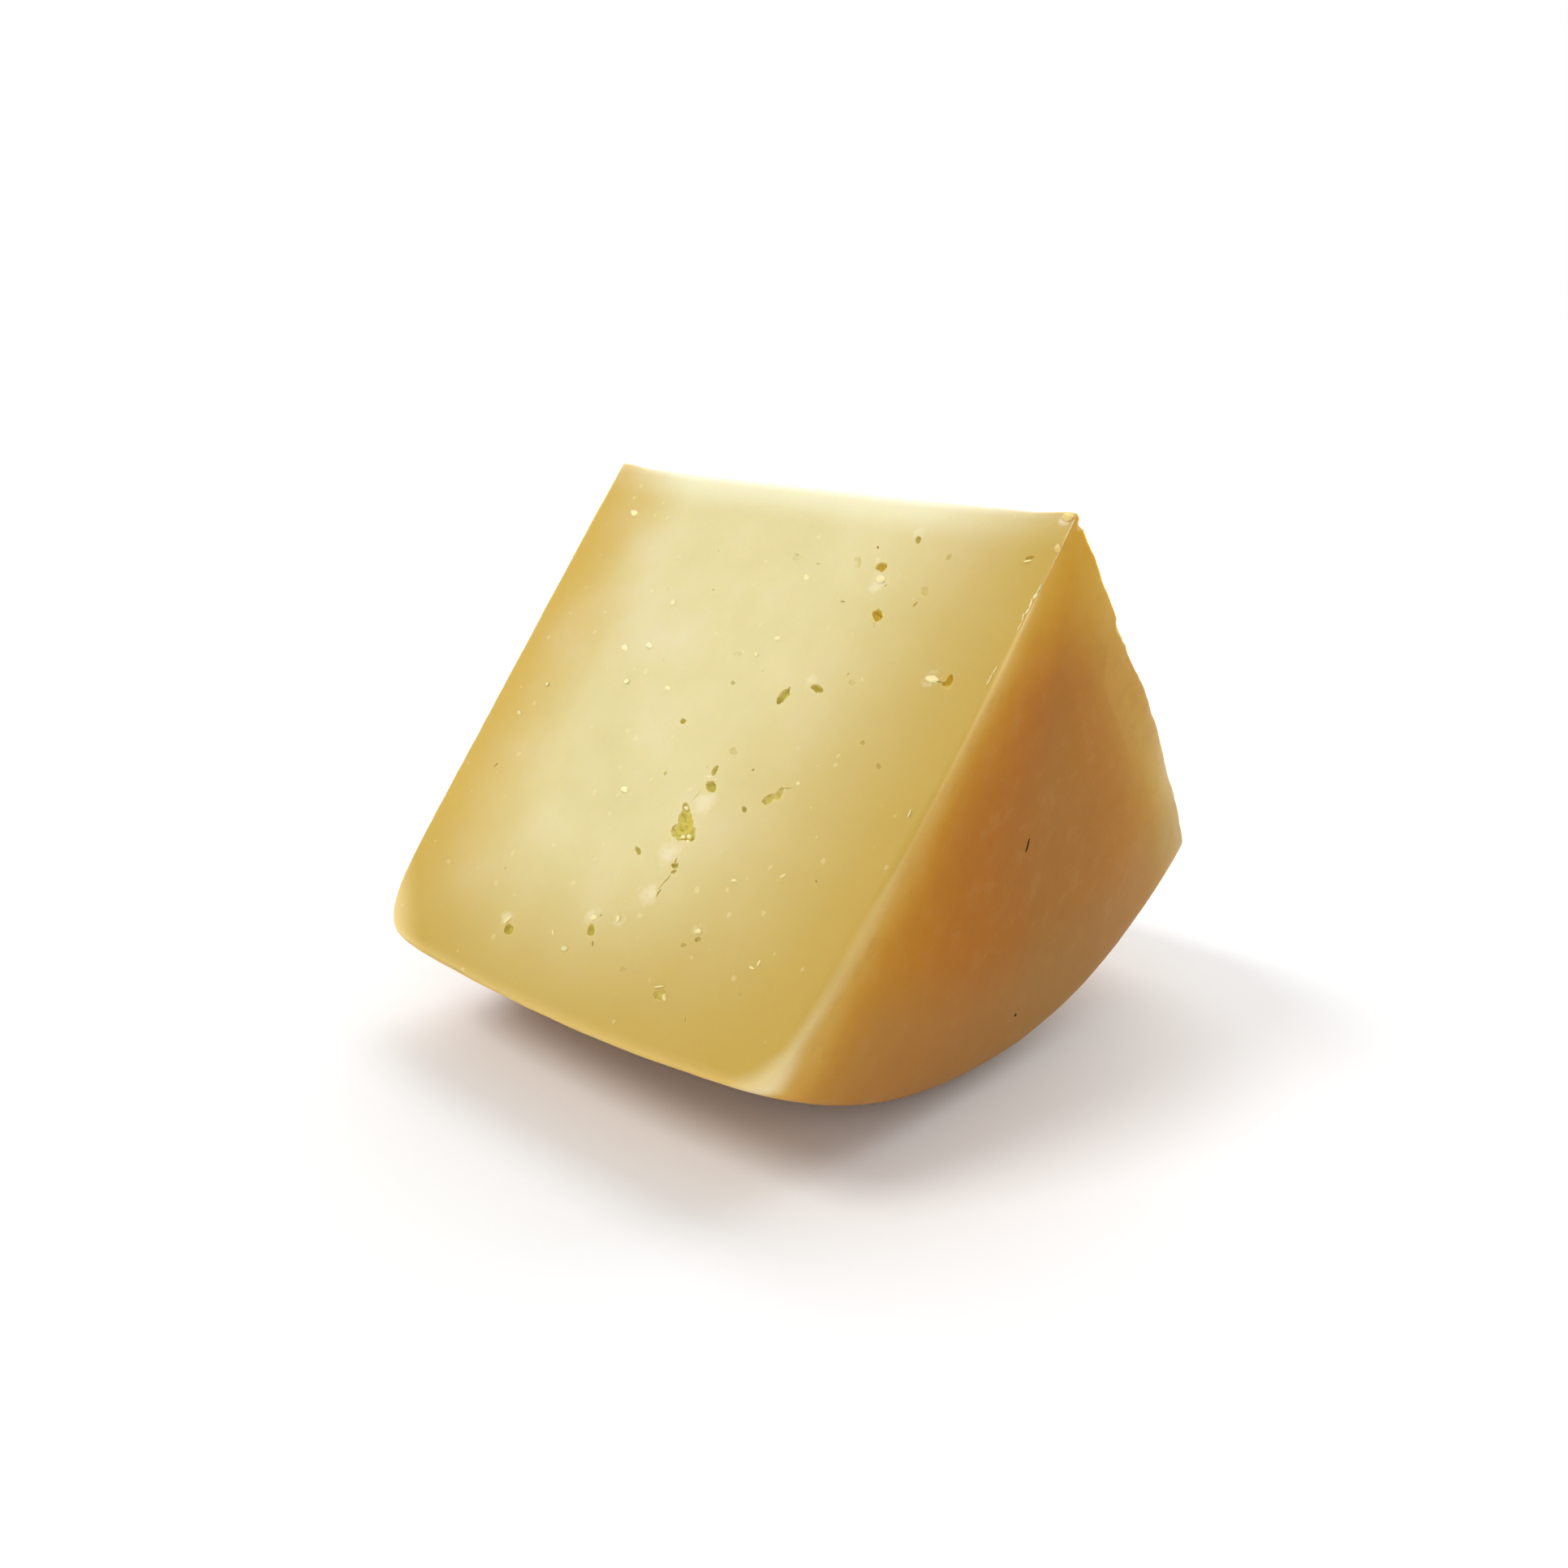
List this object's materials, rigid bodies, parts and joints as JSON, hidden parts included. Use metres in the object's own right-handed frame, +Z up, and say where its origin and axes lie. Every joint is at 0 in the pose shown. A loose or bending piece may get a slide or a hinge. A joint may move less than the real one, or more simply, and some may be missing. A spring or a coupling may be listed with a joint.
{
  "type": "pecorino toscano cheese wedge",
  "caption": "Wedge of pecorino toscano with two flat cut faces, small eyes in the pale paste and a golden-brown rind, standing on its rind.",
  "frame": {"origin": "on the floor under the middle of the wedge, on the small flat where the rind carries the weight", "axes": "+Z up to the ridge, X along the ridge and the wheel's axis with +X at the wheel's domed top face, -Y towards the front cut face"},
  "size_m": [0.094, 0.1122, 0.0881],
  "materials": {
    "cheese": "hard, slightly waxy cheese paste, pale straw yellow, with a matt golden-brown rind"
  },
  "bodies": {
    "root": {"cheese_wedge": "cheese"}
  },
  "joints": []
}
